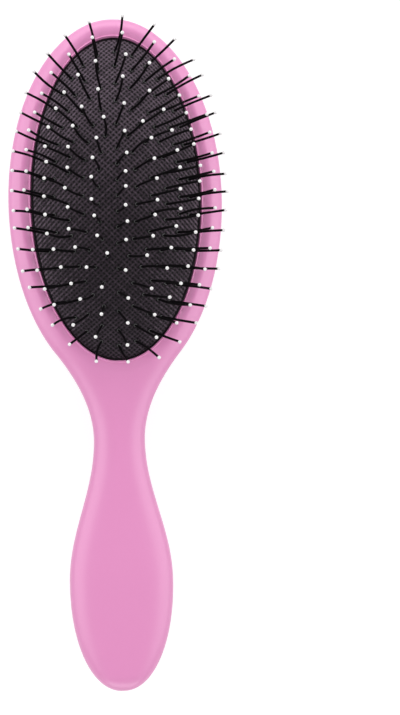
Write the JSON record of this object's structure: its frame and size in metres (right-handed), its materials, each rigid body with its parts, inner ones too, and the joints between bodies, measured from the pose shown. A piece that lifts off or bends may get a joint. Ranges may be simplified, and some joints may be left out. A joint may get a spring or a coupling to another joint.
{
  "type": "cushion hair brush",
  "caption": "Oval cushion hair brush with ball-tipped pins fanned out over a pink one-piece head and handle.",
  "frame": {"origin": "on the flat of the back that the brush lies on, under the middle of the cushion", "axes": "+Y to the head's top and -Y to the handle's end, +Z out of the back through the cushion to the pin tips, +X to the right seen from the pins' side"},
  "size_m": [0.0708, 0.2212, 0.0363],
  "materials": {
    "pink_plastic": "satin moulded pink plastic",
    "bead_rubber": "matte black rubber edge",
    "cushion": "charcoal woven cloth over rubber",
    "pin_nylon": "black nylon pins",
    "pin_tip": "white ball tips"
  },
  "bodies": {
    "root": {"brush_body": "pink_plastic", "cushion_bead": "bead_rubber"},
    "cushion_crown": {"cushion_crown": "cushion"},
    "cushion_ring_1": {"ring_1_sector_1": "cushion", "ring_1_sector_2": "cushion", "ring_1_sector_3": "cushion", "ring_1_sector_4": "cushion", "ring_1_sector_5": "cushion", "ring_1_sector_6": "cushion", "ring_1_sector_7": "cushion", "ring_1_sector_8": "cushion"},
    "cushion_ring_2": {"ring_2_sector_1": "cushion", "ring_2_sector_2": "cushion", "ring_2_sector_3": "cushion", "ring_2_sector_4": "cushion", "ring_2_sector_5": "cushion", "ring_2_sector_6": "cushion"},
    "cushion_ring_3": {"ring_3_sector_1": "cushion", "ring_3_sector_2": "cushion", "ring_3_sector_3": "cushion", "ring_3_sector_4": "cushion", "ring_3_sector_5": "cushion", "ring_3_sector_6": "cushion"},
    "cushion_ring_4": {"ring_4_sector_1": "cushion", "ring_4_sector_2": "cushion", "ring_4_sector_3": "cushion", "ring_4_sector_4": "cushion"},
    "cushion_ring_5": {"ring_5_sector_1": "cushion", "ring_5_sector_2": "cushion"}
  },
  "joints": [
    {"name": "press_crown", "type": "slide", "parent": "root", "child": "cushion_crown", "axis": [0, 0, -1], "range_m": [0, 0.004], "stiffness_N_per_m": 1500},
    {"name": "press_ring_1", "type": "slide", "parent": "root", "child": "cushion_ring_1", "axis": [0, 0, -1], "range_m": [0, 0.00055]},
    {"name": "press_ring_2", "type": "slide", "parent": "root", "child": "cushion_ring_2", "axis": [0, 0, -1], "range_m": [0, 0.00146]},
    {"name": "press_ring_3", "type": "slide", "parent": "root", "child": "cushion_ring_3", "axis": [0, 0, -1], "range_m": [0, 0.00263]},
    {"name": "press_ring_4", "type": "slide", "parent": "root", "child": "cushion_ring_4", "axis": [0, 0, -1], "range_m": [0, 0.00344]},
    {"name": "press_ring_5", "type": "slide", "parent": "root", "child": "cushion_ring_5", "axis": [0, 0, -1], "range_m": [0, 0.00387]}
  ],
  "couplings": [
    {"joint": "press_ring_1", "follows": "press_crown", "ratio": 0.135},
    {"joint": "press_ring_2", "follows": "press_crown", "ratio": 0.362},
    {"joint": "press_ring_3", "follows": "press_crown", "ratio": 0.654},
    {"joint": "press_ring_4", "follows": "press_crown", "ratio": 0.857},
    {"joint": "press_ring_5", "follows": "press_crown", "ratio": 0.964}
  ]
}
